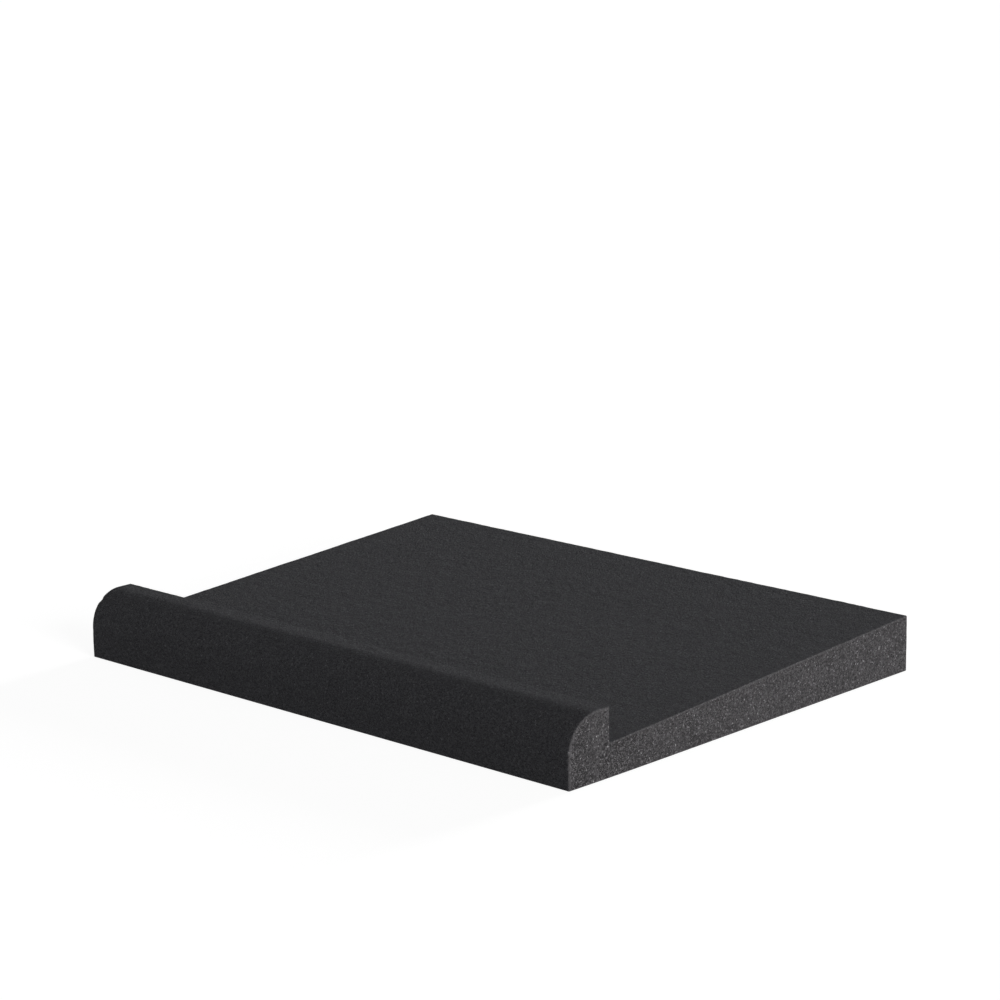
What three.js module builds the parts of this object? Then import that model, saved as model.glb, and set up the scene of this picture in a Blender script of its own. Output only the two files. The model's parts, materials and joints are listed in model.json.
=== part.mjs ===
import * as THREE from 'three';

// A speaker isolation pad: one block of charcoal open-cell foam, cut to a shallow wedge with a raised lip
// along its low front edge. The loudspeaker stands on the sloping seat and the lip keeps it from sliding off.
//
// The frame is in millimetres. X runs along the width, +Y towards the thick rear edge and +Z up. The origin is
// the middle of the footprint, on the face that rests on the desk.

// Footprint
const padWidth = 400;
const padDepth = 300;

// Wedge: its thickness where the seat meets the lip, and at the rear edge
const seatHeightAtLip = 20;
const seatHeightAtRear = 34.5;

// Lip: how far it stands above the low end of the seat, its thickness front to back, and the quarter round
// that takes its outer face over into its flat top
const lipRise = 20.5;
const lipThickness = 32;
const lipRadius = 22;

// The quarter round takes at most this share of the lip's thickness or height, so that some flat is left
const mostRound = 0.9;

// Round left in the inner corner, where the blade turns from the back of the lip into the seat
const creaseRadius = 1;

// Rounds where the long faces meet the two sawn ends: a little softer along the outside of the lip, which is
// handled most, than everywhere else
const lipEndRound = 1.5;
const sawnEndRound = 1;

// Straight steps that stand for each round
const lipSteps = 24;
const creaseSteps = 4;
const endRoundSteps = 8;

// Finish
const charcoal = 0x484749;
const foamRoughness = 0.95;

const front = -padDepth / 2;
const rear = padDepth / 2;
const lipBack = front + lipThickness;
const lipTop = seatHeightAtLip + lipRise;
const lipRound = Math.min(lipRadius, mostRound * Math.min(lipThickness, lipTop));
const seatSlope = Math.atan2(seatHeightAtRear - seatHeightAtLip, rear - lipBack);

// The points of a round in the profile plane, given as its centre, radius and the two angles that it spans.
function roundPoints(y, z, radius, fromAngle, toAngle, steps) {
  const arc = new THREE.ArcCurve(y, z, radius, fromAngle, toAngle, toAngle < fromAngle);
  return arc.getPoints(steps);
}

// The crease's centre lies one radius off the back of the lip and one radius off the seat.
function creasePoints() {
  const centreY = lipBack + creaseRadius;
  const centreZ = seatHeightAtLip + (creaseRadius * (1 + Math.sin(seatSlope))) / Math.cos(seatSlope);
  return roundPoints(centreY, centreZ, creaseRadius, 1.5 * Math.PI + seatSlope, Math.PI, creaseSteps);
}

function lipRoundPoints() {
  return roundPoints(front + lipRound, lipTop - lipRound, lipRound, Math.PI / 2, Math.PI, lipSteps);
}

// The profile in the YZ plane, anticlockwise as seen from +X: along the underside, up the rear, down the seat,
// round the crease, up the back of the lip and over its top to the front. Each corner carries the end round of
// the edge that leaves it.
const withRound = (endRound) => (corner) => ({ corner, endRound });
const profile = [
  ...[
    new THREE.Vector2(front, 0),
    new THREE.Vector2(rear, 0),
    new THREE.Vector2(rear, seatHeightAtRear),
    ...creasePoints(),
  ].map(withRound(sawnEndRound)),
  ...[
    new THREE.Vector2(lipBack, lipTop),
    ...lipRoundPoints(),
  ].map(withRound(lipEndRound)),
];

// How far an edge with this round has drawn in at this distance from the end face: a quarter circle.
function drawnIn(endRound, fromEnd) {
  const inside = Math.max(endRound - fromEnd, 0);
  return endRound - Math.sqrt(endRound ** 2 - inside ** 2);
}

// The profile as it is cut at this distance from the end face. Every edge moves along its inward normal by what
// its own round takes off there, and each corner moves to where its two edges then meet.
function sectionAt(fromEnd) {
  const edges = profile.map(({ corner, endRound }, i) => {
    const along = profile[(i + 1) % profile.length].corner.clone().sub(corner).normalize();
    return { inward: new THREE.Vector2(-along.y, along.x), inset: drawnIn(endRound, fromEnd) };
  });
  return profile.map(({ corner }, i) => {
    const before = edges[(i + edges.length - 1) % edges.length];
    const after = edges[i];
    const turn = before.inward.dot(after.inward);
    const shared = (before.inset + after.inset) / 2 / (1 + turn);
    const apart = before.inset === after.inset ? 0 : (before.inset - after.inset) / 2 / (1 - turn);
    return corner.clone()
      .addScaledVector(before.inward, shared + apart)
      .addScaledVector(after.inward, shared - apart);
  });
}

// Distances from the end face at which the rounds are cut, from the face inwards. They lie closest at the face,
// where the quarter circle is steepest.
function endStations() {
  const deepest = Math.max(lipEndRound, sawnEndRound);
  return Array.from({ length: endRoundSteps + 1 }, (_, step) => {
    const angle = (step / endRoundSteps) * (Math.PI / 2);
    return deepest * (1 - Math.cos(angle));
  });
}

// The block's closed skin: one ring of points at each station along X, bands of triangles between the rings, and
// the first and last ring filled in as the two end faces.
function blockGeometry() {
  const stations = endStations();
  const rings = [
    ...stations.map((fromEnd) => ({ x: fromEnd - padWidth / 2, section: sectionAt(fromEnd) })),
    ...stations.map((fromEnd) => ({ x: padWidth / 2 - fromEnd, section: sectionAt(fromEnd) })).reverse(),
  ];
  const positions = rings.flatMap(({ x, section }) => section.flatMap((point) => [x, point.x, point.y]));

  const perRing = profile.length;
  const triangles = [];
  for (let ring = 0; ring < rings.length - 1; ring += 1) {
    for (let i = 0; i < perRing; i += 1) {
      const next = (i + 1) % perRing;
      const here = ring * perRing;
      const beyond = here + perRing;
      triangles.push(here + i, here + next, beyond + i);
      triangles.push(here + next, beyond + next, beyond + i);
    }
  }

  const lastRing = (rings.length - 1) * perRing;
  for (const [a, b, c] of THREE.ShapeUtils.triangulateShape(rings[0].section, [])) {
    triangles.push(a, c, b);
    triangles.push(lastRing + a, lastRing + b, lastRing + c);
  }

  const geometry = new THREE.BufferGeometry();
  geometry.setAttribute('position', new THREE.Float32BufferAttribute(positions, 3));
  geometry.setIndex(triangles);
  geometry.computeVertexNormals();
  return geometry;
}

function isolationPad() {
  const foam = new THREE.MeshStandardMaterial({ color: charcoal, roughness: foamRoughness, metalness: 0 });
  const pad = new THREE.Mesh(blockGeometry(), foam);
  pad.name = 'isolation_pad';
  return pad;
}

const speakerIsolationPad = new THREE.Group();
speakerIsolationPad.add(isolationPad());

export default speakerIsolationPad;
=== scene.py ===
# %% [markdown]
# Speaker isolation pad in charcoal foam
#
# The pad is one block of open-cell polyurethane foam, cut by a blade to a shallow wedge with a raised lip
# along its low edge. There is nothing to assemble, so all the work goes into one closed surface and one
# material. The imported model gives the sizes, and this file gives the cut faces, the softened edges and the
# cells.

# %% Load the frame
import json

import bpy
import numpy as np
from mathutils import Matrix, Vector
from mathutils.geometry import delaunay_2d_cdt


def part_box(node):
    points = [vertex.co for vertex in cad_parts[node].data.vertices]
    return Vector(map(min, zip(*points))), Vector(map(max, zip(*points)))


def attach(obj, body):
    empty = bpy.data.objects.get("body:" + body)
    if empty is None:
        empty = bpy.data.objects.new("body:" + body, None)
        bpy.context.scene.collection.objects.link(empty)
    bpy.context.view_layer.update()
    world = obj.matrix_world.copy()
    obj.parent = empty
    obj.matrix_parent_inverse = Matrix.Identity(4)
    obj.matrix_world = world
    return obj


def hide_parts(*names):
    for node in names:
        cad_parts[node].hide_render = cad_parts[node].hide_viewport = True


MM = 0.001

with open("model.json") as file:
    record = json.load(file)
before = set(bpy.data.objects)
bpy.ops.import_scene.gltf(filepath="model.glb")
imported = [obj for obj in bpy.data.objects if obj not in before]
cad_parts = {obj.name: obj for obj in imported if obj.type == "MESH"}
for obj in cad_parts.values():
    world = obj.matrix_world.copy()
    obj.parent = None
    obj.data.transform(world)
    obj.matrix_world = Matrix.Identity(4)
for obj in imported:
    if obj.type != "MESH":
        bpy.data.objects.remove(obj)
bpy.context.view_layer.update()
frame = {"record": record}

# %% [markdown]
# Sizes from the frame
#
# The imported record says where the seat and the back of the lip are, because those are the faces that carry
# the load. Reading them there keeps this surface on the solid: if the pad is cut deeper or steeper, the foam
# follows.

# %% Read the pad's sizes
low, high = (np.array(corner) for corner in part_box("isolation_pad"))
mounts = {mount["name"]: mount for mount in frame["record"]["mounts"]}

front, rear = low[1], high[1]
lip_top = high[2]
half_width = (high[0] - low[0]) / 2
lip_back = mounts["lip_stop"]["pos_m"][1]

seat_point = np.array(mounts["speaker_seat"]["pos_m"])
seat_normal = np.array(mounts["speaker_seat"]["axis"])
seat_slope = -seat_normal[1] / seat_normal[2]


def seat_height(y):
    """Height of the sloping seat: the seat point's height plus slope times distance towards the rear."""
    return seat_point[2] + seat_slope * (y - seat_point[1])


print(f"pad {2 * half_width:.3f} x {rear - front:.3f} m, lip {lip_top / MM:.1f} mm high")
print(f"seat {seat_height(lip_back) / MM:.1f} mm at the lip, {seat_height(rear) / MM:.1f} mm at the rear")

# %% [markdown]
# Camera
#
# A long lens from the right of the lip, a little above it. The camera is given as a compass direction, a
# height angle and a distance from a point above the pad, because those are what a photographer would set.
# The small roll is the tilt of a hand-levelled tripod.

# %% Place the camera
camera_azimuth = np.radians(43.664)
camera_elevation = np.radians(13.465)
camera_roll = np.radians(-0.909)
camera_distance = 1.92
camera_aim = Vector((0.00421, 0.00364, 0.10252))
camera_lens_mm = 114.79
sensor_mm = 36.0


def looking_from(azimuth, elevation, roll):
    """Rotation of a camera that looks back along the given direction. Its own Z is that direction, its own X
    is level, and both X and Y are then turned by the roll about the line of sight."""
    back = Vector((
        np.sin(azimuth) * np.cos(elevation),
        -np.cos(azimuth) * np.cos(elevation),
        np.sin(elevation),
    ))
    right = Vector((np.cos(azimuth), np.sin(azimuth), 0.0))
    up = back.cross(right)
    turn = Matrix.Rotation(roll, 3, back)
    return Matrix((turn @ right, turn @ up, back)).transposed()


camera_data = bpy.data.cameras.new("camera")
camera_data.lens = camera_lens_mm
camera_data.sensor_width = sensor_mm
camera = bpy.data.objects.new("camera", camera_data)
bpy.context.scene.collection.objects.link(camera)
bpy.context.scene.camera = camera

turn = looking_from(camera_azimuth, camera_elevation, camera_roll)
camera.matrix_world = Matrix.Translation(camera_aim + turn.col[2] * camera_distance) @ turn.to_4x4()
print("camera at", [round(value, 3) for value in camera.matrix_world.translation])

# %% [markdown]
# The outline
#
# Seen from the end, the pad is a polygon with six corners, and each corner is rounded by its own radius:
# 22 mm where the lip's front rolls over into its top, 1 mm in the crease where the blade turned, and well
# under a millimetre where two cuts meet. A box with a bevel modifier would give all the edges one radius.
# Writing the corners and radii down gives each its own, and the same function also draws the smaller outline
# of the end face, whose edges have been drawn in.

# %% Corners, edges and their rounds
# Each corner starts an edge. In order they are the underside, rear, seat, back of the lip, top of the lip
# and front.
corners = np.array([
    (front, 0.0),
    (rear, 0.0),
    (rear, seat_height(rear)),
    (lip_back, seat_height(lip_back)),
    (lip_back, lip_top),
    (front, lip_top),
])

cut_round = 0.6 * MM
crease_round = 1.0 * MM
lip_round = 22.0 * MM
corner_rounds = np.array([cut_round, cut_round, cut_round, crease_round, cut_round, lip_round])
least_round = 0.3 * MM

# How soft each of the six edges is where it meets a sawn end
lip_end_round = 1.5 * MM
sawn_end_round = 1.0 * MM
end_rounds = np.array([sawn_end_round] * 4 + [lip_end_round] * 2)

# Distance between points along each edge. The underside lies on the desk and needs few. The smallest rounds
# still get a few steps.
face_spacing = 1.7 * MM
underside_spacing = 11.0 * MM
edge_spacing = np.array([underside_spacing] + [face_spacing] * 5)
fewest_arc_steps = 3


def drawn_in(edge_round, from_end):
    """How far an edge has moved in at a distance d from the end face. It is the gap between a quarter circle
    of radius r and its tangent: r - sqrt(r^2 - (r - d)^2) while d is less than r, and nothing beyond."""
    inside = np.clip(edge_round - from_end, 0.0, None)
    return edge_round - np.sqrt(edge_round**2 - inside**2)


def outlines(insets):
    """The outline for each row of insets, as an array of rows, points and the two coordinates (y, z).

    Every edge moves in along its normal by its inset, and a corner moves to where its two edges then meet:
    the corner's shift d solves n1.d = a1 and n2.d = a2. Each corner is then an arc of what is left of its
    radius, the radius less the mean inset, or plus it in the crease, and straight runs join the arcs.
    """
    along = np.roll(corners, -1, axis=0) - corners
    lengths = np.linalg.norm(along, axis=1)
    along /= lengths[:, None]
    inward = np.stack((-along[:, 1], along[:, 0]), axis=1)

    before = np.roll(insets, 1, axis=1)
    inward_before = np.roll(inward, 1, axis=0)
    along_before = np.roll(along, 1, axis=0)
    meet = (inward_before * inward).sum(axis=1)
    share_before = (before - meet * insets) / (1.0 - meet**2)
    share_after = (insets - meet * before) / (1.0 - meet**2)
    moved = corners + share_before[..., None] * inward_before + share_after[..., None] * inward

    cross = along_before[:, 0] * along[:, 1] - along_before[:, 1] * along[:, 0]
    bends = np.arctan2(cross, (along_before * along).sum(axis=1))
    turn_sign = np.sign(bends)
    radii = np.maximum(corner_rounds - turn_sign * (before + insets) / 2, least_round)
    tangent = radii * np.tan(np.abs(bends) / 2)
    arc_start = moved - tangent[..., None] * along_before
    arc_end = moved + tangent[..., None] * along
    centres = arc_start + (turn_sign * radii)[..., None] * inward_before

    runs = []
    for i in range(len(corners)):
        after = (i + 1) % len(corners)
        arc_steps = int(np.ceil(corner_rounds[i] * abs(bends[i]) / face_spacing))
        angle = np.linspace(0.0, bends[i], max(fewest_arc_steps, arc_steps), endpoint=False)
        spoke = -turn_sign[i] * inward_before[i]
        turned = np.stack((
            spoke[0] * np.cos(angle) - spoke[1] * np.sin(angle),
            spoke[0] * np.sin(angle) + spoke[1] * np.cos(angle),
        ), axis=1)
        runs.append(centres[:, i, None] + radii[:, i, None, None] * turned)

        straight_steps = int(np.ceil(lengths[i] / edge_spacing[i]))
        t = np.linspace(0.0, 1.0, straight_steps, endpoint=False)[:, None]
        runs.append((1.0 - t) * arc_end[:, i, None] + t * arc_start[:, after, None])
    return np.concatenate(runs, axis=1)


print("points round the outline:", outlines(np.zeros((1, len(corners)))).shape[1])

# %% [markdown]
# The long faces
#
# The blade carries the outline straight across the pad, and the two ends were sawn afterwards, which leaves
# their edges a little soft. So the surface has two parameters: the place round the outline and the distance
# from an end. Near an end the outline shrinks as a quarter circle, over 1.5 mm on the outside of the lip and
# 1 mm elsewhere. Between the ends, cross lines are as close as the points of the outline, so that the faces
# can carry the unevenness of the cut.

# %% Carry the outline across the pad
end_steps = 8
deepest_round = end_rounds.max()

quarter = np.linspace(0.0, np.pi / 2, end_steps + 1)
near_end = deepest_round * (1.0 - np.cos(quarter))
middle_steps = int(np.ceil((half_width * 2 - deepest_round * 2) / face_spacing))
middle = np.linspace(-half_width + deepest_round, half_width - deepest_round, middle_steps + 1)
stations = np.concatenate((-half_width + near_end[:-1], middle, half_width - near_end[:-1][::-1]))

from_end = half_width - np.abs(stations)
rings = outlines(drawn_in(end_rounds[None, :], from_end[:, None]))
ring_count, per_ring = rings.shape[:2]

skin = np.empty((ring_count, per_ring, 3))
skin[..., 0] = stations[:, None]
skin[..., 1:] = rings

ring = np.arange(ring_count - 1)[:, None] * per_ring
place = np.arange(per_ring)[None, :]
beside = (place + 1) % per_ring
next_ring = ring + per_ring
quads = np.stack((ring + place, ring + beside, next_ring + beside, next_ring + place), axis=-1)
quads = quads.reshape(-1, 4)
print("long faces:", ring_count, "rings of", per_ring, "points,", 2 * len(quads), "triangles")

# %% [markdown]
# The sawn ends
#
# Each end face is flat and has the shrunken outline as its edge. One large polygon would shade badly and
# could not be uneven, and a square grid would not meet a curved edge. So its inside is sown with points in a
# honeycomb pattern, and a Delaunay triangulation joins them to the points of the edge.

# %% Sow points inside an outline
end_spacing = 1.05 * MM
end_margin = 0.6 * end_spacing


def inside_outline(points, outline):
    """True where a ray from the point towards +y crosses the outline an odd number of times. A level side is
    never crossed, so 1 stands in for its rise of 0, by which nothing can be divided."""
    start, stop = outline, np.roll(outline, -1, axis=0)
    y, z = points[:, 0, None], points[:, 1, None]
    spans = (start[:, 1] > z) != (stop[:, 1] > z)
    rise = np.where(stop[:, 1] == start[:, 1], 1.0, stop[:, 1] - start[:, 1])
    crossing = start[:, 0] + (z - start[:, 1]) / rise * (stop[:, 0] - start[:, 0])
    return (spans & (crossing > y)).sum(axis=1) % 2 == 1


def gap_to_outline(points, outline):
    """Each point's distance to the nearest side of the outline. The nearest place on a side is
    start + t * side, with t = (point - start).side / side.side held between 0 and 1."""
    side = np.roll(outline, -1, axis=0) - outline
    from_start = points[:, None] - outline[None]
    t = np.clip((from_start * side).sum(axis=2) / (side**2).sum(axis=1), 0.0, 1.0)
    return np.linalg.norm(from_start - t[..., None] * side, axis=2).min(axis=1)


def honeycomb(outline, spacing, margin):
    """Points in staggered rows inside the outline, none nearer to it than the margin. Rows lie sqrt(3)/2 of
    the spacing apart, and every second row is shifted by half a spacing."""
    lowest, highest = outline.min(axis=0), outline.max(axis=0)
    row_gap = spacing * np.sqrt(3) / 2
    z = np.arange(lowest[1] + margin, highest[1], row_gap)
    y = np.arange(lowest[0] + margin, highest[0], spacing)
    shift = (np.arange(len(z)) % 2) * spacing / 2
    grid = np.stack(np.broadcast_arrays(y[None, :] + shift[:, None], z[:, None]), axis=-1).reshape(-1, 2)
    grid = grid[inside_outline(grid, outline)]
    return grid[gap_to_outline(grid, outline) > margin]


end_outline = rings[0]
sown = honeycomb(end_outline, end_spacing, end_margin)
print("each end face:", len(sown), "points inside")

# %% Fill the end faces
# The triangulation's own number for keeping only what lies inside the edge, and the distance in metres
# within which it takes two points as one
KEEP_INSIDE = 1
same_point = 1e-9

flat = [Vector(point) for point in np.concatenate((end_outline, sown)).tolist()]
edge_loop = [(i, (i + 1) % per_ring) for i in range(per_ring)]
_, _, end_faces, sources, _, _ = delaunay_2d_cdt(flat, edge_loop, [], KEEP_INSIDE, same_point)
end_triangles = np.array([source[0] for source in sources])[np.array(end_faces)]
print("each end face:", len(end_triangles), "triangles")

# %% Join faces and ends into one closed surface
points = np.concatenate((
    skin.reshape(-1, 3),
    np.insert(sown, 0, -half_width, axis=1),
    np.insert(sown, 0, half_width, axis=1),
))
first_sown = ring_count * per_ring


def end_indices(ring_start, sown_start):
    """The end's triangles as indices of points: those on the edge come from the ring, the rest from the
    sown points."""
    on_edge = end_triangles < per_ring
    return np.where(on_edge, end_triangles + ring_start, end_triangles - per_ring + sown_start)


left_end = end_indices(0, first_sown)[:, ::-1]
right_end = end_indices(first_sown - per_ring, first_sown + len(sown))
quad_triangles = np.concatenate((quads[:, [0, 1, 2]], quads[:, [0, 2, 3]]))
triangles = np.concatenate((quad_triangles, left_end, right_end))
print("foam:", len(points), "points,", len(triangles), "triangles")

# %% [markdown]
# Unevenness of the cut
#
# A blade through soft foam wanders by a tenth of a millimetre or two, and every cut cell leaves a small pit.
# Smooth random fields of a few sizes, added along the surface's normals, give both: long waves from the
# blade, short ones from clusters of cells. The sawn ends have their own waves from the saw, and shorter ones
# from cells that it tore. The underside stays flat on the desk, so the unevenness fades out within the
# lowest 2 mm.

# %% Random fields and normals
lattice_numbers = 4096
hash_primes = np.array([73856093, 19349663, 83492791])


def smooth_noise(places, wavelength, seed):
    """A smooth random field from -1 to 1. Every corner of a cubic lattice has a random number, and a point
    takes the mean of the eight corners round it, weighted by 3t^2 - 2t^3 along each axis. Which number a
    corner has follows from its three indices, each times a prime, put together bit by bit."""
    numbers = np.random.default_rng(seed).uniform(-1.0, 1.0, lattice_numbers)
    scaled = places / wavelength
    cell = np.floor(scaled).astype(np.int64)
    t = scaled - cell
    ease = t * t * (3.0 - 2.0 * t)
    total = np.zeros(len(places))
    for step in np.ndindex(2, 2, 2):
        mixed = np.bitwise_xor.reduce((cell + np.array(step)) * hash_primes, axis=1)
        weight = np.where(np.array(step) == 1, ease, 1.0 - ease).prod(axis=1)
        total += numbers[mixed % lattice_numbers] * weight
    return total


def point_normals(places, faces):
    """Each point's normal: the sum of the area vectors of the triangles that meet there, made one unit
    long."""
    a, b, c = (places[faces[:, k]] for k in range(3))
    area = np.cross(b - a, c - a)
    total = np.zeros_like(places)
    for k in range(3):
        np.add.at(total, faces[:, k], area)
    return total / np.linalg.norm(total, axis=1, keepdims=True)


# %% Tell the sawn ends and their rims from the long faces
# A normal's share along X is 0 on a long face and 1 on an end. Past the first lean a point counts more and
# more as sawn, and as part of the rim until it is nearly flat on the end.
first_lean = 0.25
sawn_span = 0.40
rim_span = 0.35
rim_end_span = 0.04

normals = point_normals(points, triangles)
end_facing = np.abs(normals[:, 0])
sawn = np.clip((end_facing - first_lean) / sawn_span, 0.0, 1.0)
rim = np.clip((end_facing - first_lean) / rim_span, 0.0, 1.0)
rim = rim * np.clip((1.0 - end_facing) / rim_end_span, 0.0, 1.0)
print("sawn points:", int((sawn > 0.5).sum()), "rim points:", int((rim > 0.5).sum()))

# %% Move the points by the unevenness
desk_fade = 2.0 * MM


def field(depth, wavelength, seed):
    """Smooth noise at every point of the foam, its depth and wavelength given in millimetres."""
    return depth * MM * smooth_noise(points, wavelength * MM, seed)


blade_wander = field(depth=0.12, wavelength=45, seed=11) + field(depth=0.07, wavelength=10, seed=12)
cut_cells = field(depth=0.1, wavelength=3.8, seed=13)
saw_wander = field(depth=0.1, wavelength=9, seed=14)
torn_cells = field(depth=0.08, wavelength=2.4, seed=15)

uneven = blade_wander + (1.0 - sawn) * cut_cells + sawn * (saw_wander + torn_cells)
fade = np.clip(points[:, 2] / desk_fade, 0.0, 1.0)
points = points + normals * (uneven * fade)[:, None]
print(f"unevenness from {(uneven * fade).min() / MM:.2f} to {(uneven * fade).max() / MM:.2f} mm")

# %% [markdown]
# Drawn-in ends
#
# The lip is the thickest part, and soft foam gives way under the saw before it is cut. So the ends are not
# quite square: they are drawn in by about a millimetre at the lip's front, and this dies away towards the
# rear and towards the middle of the pad.

# %% Draw the ends in beside the lip
left_drawn_in = 1.0 * MM
right_drawn_in = 1.3 * MM
fade_length = 32.0 * MM
reach = 30.0 * MM

to_end = np.clip(half_width - np.abs(points[:, 0]), 0.0, reach)
near = (1.0 - to_end / reach) ** 2
behind_front = points[:, 1] - front
most = np.where(points[:, 0] > 0.0, right_drawn_in, -left_drawn_in)
points[:, 0] -= most * np.exp(-behind_front / fade_length) * near
print(f"drawn in by {left_drawn_in / MM:.1f} mm at the left, {right_drawn_in / MM:.1f} mm at the right")

# %% [markdown]
# A nick in the lip
#
# The left end of the lip has lost a crumb of foam from its rounded edge. It is a dent with the shape of a
# bell curve, pressed in along the normals round one point of the edge. The angle says where on the lip's
# round that point is: 90 degrees is where the round meets the top, and 180 where it meets the front.

# %% Press the nick in
nick_angle = np.radians(130.0)
nick_centre = np.array([
    -half_width + left_drawn_in,
    front + lip_round + lip_round * np.cos(nick_angle),
    lip_top - lip_round + lip_round * np.sin(nick_angle),
])
nick_depth = 0.7 * MM
nick_radius = 1.6 * MM
from_nick = np.linalg.norm(points - nick_centre, axis=1)
dent = nick_depth * np.exp(-((from_nick / nick_radius) ** 2))
points = points - normals * dent[:, None]
print("points that the nick moves by over 0.1 mm:", int((dent > 0.1 * MM).sum()))

# %% [markdown]
# From arrays to a mesh
#
# The arrays go into the mesh as they are. Two numbers go with every point, how sawn it is and how far it
# belongs to the rim, so that the material can tell the faces apart without a second slot, whose border would
# show as a hard line.

# %% Make the mesh
foam_mesh = bpy.data.meshes.new("foam_block")
foam_mesh.from_pydata(points, [], triangles)
foam_mesh.attributes.new("sawn", "FLOAT", "POINT").data.foreach_set("value", sawn)
# The rim number carries the painted highlight along the rounded edges of the sawn ends.
foam_mesh.attributes.new("rim", "FLOAT", "POINT").data.foreach_set("value", rim)
foam_mesh.polygons.foreach_set("use_smooth", np.ones(len(triangles), dtype=bool))
foam_mesh.update()
foam_block = bpy.data.objects.new("foam_block", foam_mesh)
bpy.context.scene.collection.objects.link(foam_block)
print("foam_block:", len(foam_mesh.vertices), "points,", len(foam_mesh.polygons), "triangles")

# %% [markdown]
# Foam
#
# Charcoal open-cell polyurethane foam. A cut face shows sliced cells: dark pores in a net of lighter struts,
# 0.7 mm across, and here and there a cell whose film catches the light. In the colour, the dark of the pores
# is painted shade, the bright films are painted glints, and the lighter rims of the sawn ends are a painted
# highlight. A Voronoi texture in three dimensions is that structure, because a slice through close-set
# bubbles looks the same on every face and meets itself round the edges. A picture of foam could not do that.
# The pores swallow light, so there is next to no gloss. Cells, clumps of cells and slow waves also stand out
# a little, and light that skims a face picks that out. This relief is bump, because it is finer or slighter
# than the mesh can hold.

# %% Helpers for materials
PLAIN_WHITE = (1.0, 1.0, 1.0, 1.0)

# A Mix node has sockets of the same names for each kind of data. These are the places of those for colours.
MIX_SHARE, MIX_FIRST, MIX_SECOND = 0, 6, 7
MIXED = 2


def linear(colour):
    """An sRGB hex colour as linear red, green, blue and alpha: c/12.92 up to 0.04045, else
    ((c + 0.055) / 1.055)^2.4."""
    parts = np.array([int(colour[i:i + 2], 16) / 255 for i in (1, 3, 5)])
    made = np.where(parts <= 0.04045, parts / 12.92, ((parts + 0.055) / 1.055) ** 2.4)
    return (*made.tolist(), 1.0)


def add(tree, kind, inputs=None, **settings):
    """Adds a node, sets its properties, and gives each input a value or a link from another node's
    output."""
    made = tree.nodes.new(kind)
    for name, value in settings.items():
        setattr(made, name, value)
    for name, value in (inputs or {}).items():
        if isinstance(value, bpy.types.NodeSocket):
            tree.links.new(value, made.inputs[name])
        else:
            made.inputs[name].default_value = value
    return made


def empty_material(name):
    """A material with no nodes but its output."""
    material = bpy.data.materials.new(name)
    material.use_nodes = True
    material.node_tree.nodes.clear()
    return material, material.node_tree, add(material.node_tree, "ShaderNodeOutputMaterial")


# %% Colours and structure of the foam
# Sizes of a cell, of a clump of cells and of a wave between them
cell_size = 0.72 * MM
clump_size = 1.5 * MM
wave_size = 4.5 * MM

# A cell's shade is mostly its own chance, and its clump adds a little. The noise that makes the clumps
# hardly leaves this range.
chance_share = 0.8
clump_share = 0.2
clump_range = (0.25, 0.75)

# Shades from the darkest cell to the lightest, on a face cut by the blade and on a sawn end. The lightest
# stops of both are painted glints: cells whose film catches the light, drawn into the colour. On the sawn
# ends these painted glints are more and brighter, beside the wider spread of the cells' own tone.
# The faint blue of the cut faces' shades and strut is partly a painted tint of the cool light that falls on
# the front, beside the foam's own charcoal.
cut_shades_and_glints = ((0.0, "#2b2b2d"), (0.5, "#3a3a3d"), (0.9, "#4c4c4e"), (1.0, "#757579"))
sawn_shades_and_glints = (
    (0.0, "#0e0d0e"),
    (0.5, "#3a393a"),
    (0.86, "#696769"),
    (0.94, "#969496"),
    (1.0, "#f0eef0"),
)
cut_strut = "#525255"
sawn_strut = "#615f61"

# Distances from a cell's wall over which its strut fades out and painted shade darkens its pore, as shares of
# a cell
strut_fade = (0.02, 0.16)
pore_fade = (0.06, 0.36)
most_strut = 0.5
pore_shadow = 0.5

# Along the rims of the sawn ends the colour is mixed towards a lighter, more even grey: a painted highlight
# where the rounded edge catches the light.
rim_highlight_colour = "#646264"
most_rim_highlight = 0.38

# How much a cell's shade, its clump and a wave add to the relief, where a pore's hollow counts once
cell_relief = 0.5
clump_relief = 5.0
wave_relief = 1.2
print(f"cells {cell_size / MM:.2f} mm, clumps {clump_size / MM:.1f} mm, waves {wave_size / MM:.1f} mm")


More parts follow.
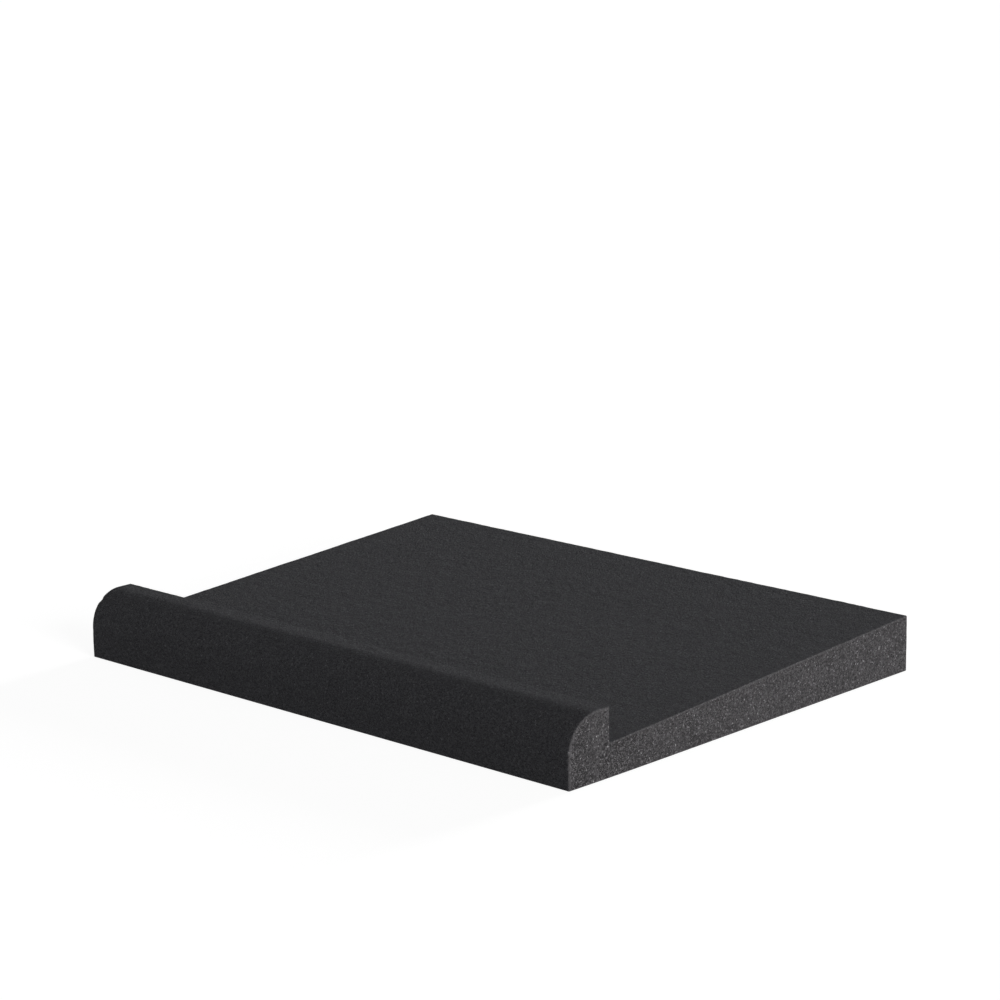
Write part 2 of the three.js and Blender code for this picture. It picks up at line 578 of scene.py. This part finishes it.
# %% Foam material
def foam_material():
    """Every cell has its own shade, clumps of cells vary too, and a net of struts lies over them. The sawn
    ends have the wider range of shades, and the lightest cells are painted glints. Each pore darkens towards
    its middle with painted shade, and the rims of the sawn ends take a painted highlight. The height of the
    relief is the sum of hollow, shade, clump and wave, each times its own number."""
    material, tree, output = empty_material("charcoal_polyurethane_foam_cut")
    place = add(tree, "ShaderNodeTexCoord").outputs["Object"]
    sawn_share = add(tree, "ShaderNodeAttribute", attribute_name="sawn").outputs["Fac"]
    rim_share = add(tree, "ShaderNodeAttribute", attribute_name="rim").outputs["Fac"]

    net = add(tree, "ShaderNodeTexVoronoi", {"Vector": place, "Scale": 1.0 / cell_size},
              feature="DISTANCE_TO_EDGE")
    strut = add(tree, "ShaderNodeMapRange", {
        "Value": net.outputs["Distance"], "From Min": strut_fade[0], "From Max": strut_fade[1],
        "To Min": most_strut, "To Max": 0.0,
    }, interpolation_type="SMOOTHSTEP")
    hollow = add(tree, "ShaderNodeMapRange", {
        "Value": net.outputs["Distance"], "From Min": pore_fade[0], "From Max": pore_fade[1],
        "To Min": 1.0, "To Max": 1.0 - pore_shadow,
    }, interpolation_type="SMOOTHSTEP")
    cells = add(tree, "ShaderNodeTexVoronoi", {"Vector": place, "Scale": 1.0 / cell_size}, feature="F1")
    chance = add(tree, "ShaderNodeSeparateColor", {"Color": cells.outputs["Color"]})
    clumps = add(tree, "ShaderNodeTexNoise", {"Vector": place, "Scale": 1.0 / clump_size, "Detail": 1.0})
    clump = add(tree, "ShaderNodeMapRange", {
        "Value": clumps.outputs["Fac"], "From Min": clump_range[0], "From Max": clump_range[1],
        "To Min": 0.0, "To Max": clump_share,
    })
    shade = add(tree, "ShaderNodeMath", {
        0: chance.outputs["Red"], 1: chance_share, 2: clump.outputs["Result"],
    }, operation="MULTIPLY_ADD")

    ramps = []
    for stops in (cut_shades_and_glints, sawn_shades_and_glints):
        ramp = add(tree, "ShaderNodeValToRGB", {"Fac": shade.outputs["Value"]})
        elements = ramp.color_ramp.elements
        # A ramp starts with two stops. The others are added at its middle and then all get their places.
        while len(elements) < len(stops):
            elements.new(0.5)
        for element, (position, colour) in zip(elements, stops):
            element.position = position
            element.color = linear(colour)
        ramps.append(ramp.outputs["Color"])

    faces = add(tree, "ShaderNodeMix", {
        MIX_SHARE: sawn_share, MIX_FIRST: ramps[0], MIX_SECOND: ramps[1],
    }, data_type="RGBA")
    # Painted shade: each cell's colour darkens towards its middle, where the pore is deepest.
    pores = add(tree, "ShaderNodeMix", {
        MIX_SHARE: 1.0, MIX_FIRST: faces.outputs[MIXED], MIX_SECOND: hollow.outputs["Result"],
    }, data_type="RGBA", blend_type="MULTIPLY")
    struts = add(tree, "ShaderNodeMix", {
        MIX_SHARE: sawn_share, MIX_FIRST: linear(cut_strut), MIX_SECOND: linear(sawn_strut),
    }, data_type="RGBA")
    netted = add(tree, "ShaderNodeMix", {
        MIX_SHARE: strut.outputs["Result"], MIX_FIRST: pores.outputs[MIXED],
        MIX_SECOND: struts.outputs[MIXED],
    }, data_type="RGBA")
    # Painted highlight along the rims of the sawn ends.
    painted_rim_highlight = add(tree, "ShaderNodeMath", {0: rim_share, 1: most_rim_highlight}, operation="MULTIPLY")
    colour = add(tree, "ShaderNodeMix", {
        MIX_SHARE: painted_rim_highlight.outputs["Value"], MIX_FIRST: netted.outputs[MIXED],
        MIX_SECOND: linear(rim_highlight_colour),
    }, data_type="RGBA")

    waves = add(tree, "ShaderNodeTexNoise", {"Vector": place, "Scale": 1.0 / wave_size, "Detail": 0.0})
    height = hollow.outputs["Result"]
    for part, relief in (
        (shade.outputs["Value"], cell_relief),
        (clump.outputs["Result"], clump_relief),
        (waves.outputs["Fac"], wave_relief),
    ):
        raised = add(tree, "ShaderNodeMath", {0: part, 1: relief, 2: height}, operation="MULTIPLY_ADD")
        height = raised.outputs["Value"]
    bump = add(tree, "ShaderNodeBump", {"Height": height, "Strength": 0.8, "Distance": 0.3 * MM})
    surface = add(tree, "ShaderNodeBsdfPrincipled", {
        "Base Color": colour.outputs[MIXED], "Normal": bump.outputs["Normal"],
        "Roughness": 0.95, "Specular IOR Level": 0.07,
    })
    tree.links.new(surface.outputs["BSDF"], output.inputs["Surface"])
    return material


foam_mesh.materials.append(foam_material())
print("material:", foam_mesh.materials[0].name)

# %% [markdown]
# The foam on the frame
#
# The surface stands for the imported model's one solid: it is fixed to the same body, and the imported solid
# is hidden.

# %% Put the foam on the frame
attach(foam_block, "root")
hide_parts("isolation_pad")
print("foam_block replaces isolation_pad")

# %% [markdown]
# Floor
#
# A plain white sweep. Its own colour is near white and it is lit evenly, and the camera sees it mixed with
# plain white, so that the shadow stays but is faint. The plain white is a little stronger than 1, because
# the lamps stand low and leave the paper that it is mixed with grey.

# %% Lay the floor
floor_reach = 40.0
floor_drop = 0.1 * MM
floor_colour = "#f6f6f6"
seen_white_share = 0.7
seen_white_strength = 1.27


def looked_at(tree):
    """1 for rays that look at a surface straight, in a reflection or through glass, else 0: the largest of
    the light path's camera, glossy and transmission outputs."""
    path = add(tree, "ShaderNodeLightPath")
    seen = add(tree, "ShaderNodeMath", {
        0: path.outputs["Is Camera Ray"], 1: path.outputs["Is Glossy Ray"],
    }, operation="MAXIMUM")
    seen = add(tree, "ShaderNodeMath", {
        0: seen.outputs["Value"], 1: path.outputs["Is Transmission Ray"],
    }, operation="MAXIMUM")
    return seen.outputs["Value"]


def floor_material():
    """Matt white paper, with a share of plain white where it is looked at."""
    material, tree, output = empty_material("white_paper_sweep_matt")
    paper = add(tree, "ShaderNodeBsdfDiffuse", {"Color": linear(floor_colour)})
    white = add(tree, "ShaderNodeEmission", {"Color": PLAIN_WHITE, "Strength": seen_white_strength})
    share = add(tree, "ShaderNodeMath", {0: looked_at(tree), 1: seen_white_share}, operation="MULTIPLY")
    both = add(tree, "ShaderNodeMixShader", {
        0: share.outputs["Value"], 1: paper.outputs["BSDF"], 2: white.outputs["Emission"],
    })
    tree.links.new(both.outputs["Shader"], output.inputs["Surface"])
    return material


floor_mesh = bpy.data.meshes.new("floor")
floor_corners = np.array([(-1, -1), (1, -1), (1, 1), (-1, 1)]) * floor_reach
floor_mesh.from_pydata([(x, y, -floor_drop) for x, y in floor_corners.tolist()], [], [(0, 1, 2, 3)])
floor_mesh.materials.append(floor_material())
floor = bpy.data.objects.new("floor", floor_mesh)
bpy.context.scene.collection.objects.link(floor)
print(f"floor {2 * floor_reach:.0f} m square, {floor_drop / MM:.1f} mm under the pad")

# %% [markdown]
# Light
#
# Two broad lamps and a dim room. The key stands to the right and faces the sawn end, which gets about the
# light at which white renders as white, so its colours come out about as they are written. The second lamp
# stands behind the pad. Both skim the top, which gets about half that light: it shows the unevenness there,
# and the lip's flat top comes out lighter than its front. The front gets some of the key at a slant and
# light from the floor.

# %% Hang the lamps
# A sun of this strength lights a white surface that faces it to plain white.
WHITE_LEVEL = np.pi


def soft_sun(name, azimuth, elevation, level, spread):
    """A distant lamp, whose level is its share of the strength for plain white. All angles are in degrees:
    azimuth from the pad's front towards its right, and spread for how wide the lamp looks. A lamp shines the
    way that a camera looks, along its own -Z."""
    data = bpy.data.lights.new(name, "SUN")
    data.energy = level * WHITE_LEVEL
    data.angle = np.radians(spread)
    lamp = bpy.data.objects.new(name, data)
    bpy.context.scene.collection.objects.link(lamp)
    lamp.matrix_world = looking_from(np.radians(azimuth), np.radians(elevation), 0.0).to_4x4()
    print("lamp", name, "at level", level)


soft_sun("key_right", azimuth=79, elevation=15, level=0.8, spread=30)
soft_sun("skim_behind", azimuth=180, elevation=12, level=0.8, spread=15)

# %% Light the room
room_level = 0.095
world = bpy.data.worlds.new("room")
bpy.context.scene.world = world
world.use_nodes = True
world.node_tree.nodes.clear()


def room_light(tree):
    """Dim grey from all round for the light that it gives, and plain white where it is looked at."""
    dim = add(tree, "ShaderNodeBackground", {"Color": PLAIN_WHITE, "Strength": room_level})
    white = add(tree, "ShaderNodeBackground", {"Color": PLAIN_WHITE, "Strength": 1.0})
    both = add(tree, "ShaderNodeMixShader", {
        0: looked_at(tree), 1: dim.outputs["Background"], 2: white.outputs["Background"],
    })
    output = add(tree, "ShaderNodeOutputWorld")
    tree.links.new(both.outputs["Shader"], output.inputs["Surface"])


room_light(world.node_tree)
bpy.context.scene.view_settings.view_transform = "Standard"
print("room at level", room_level)
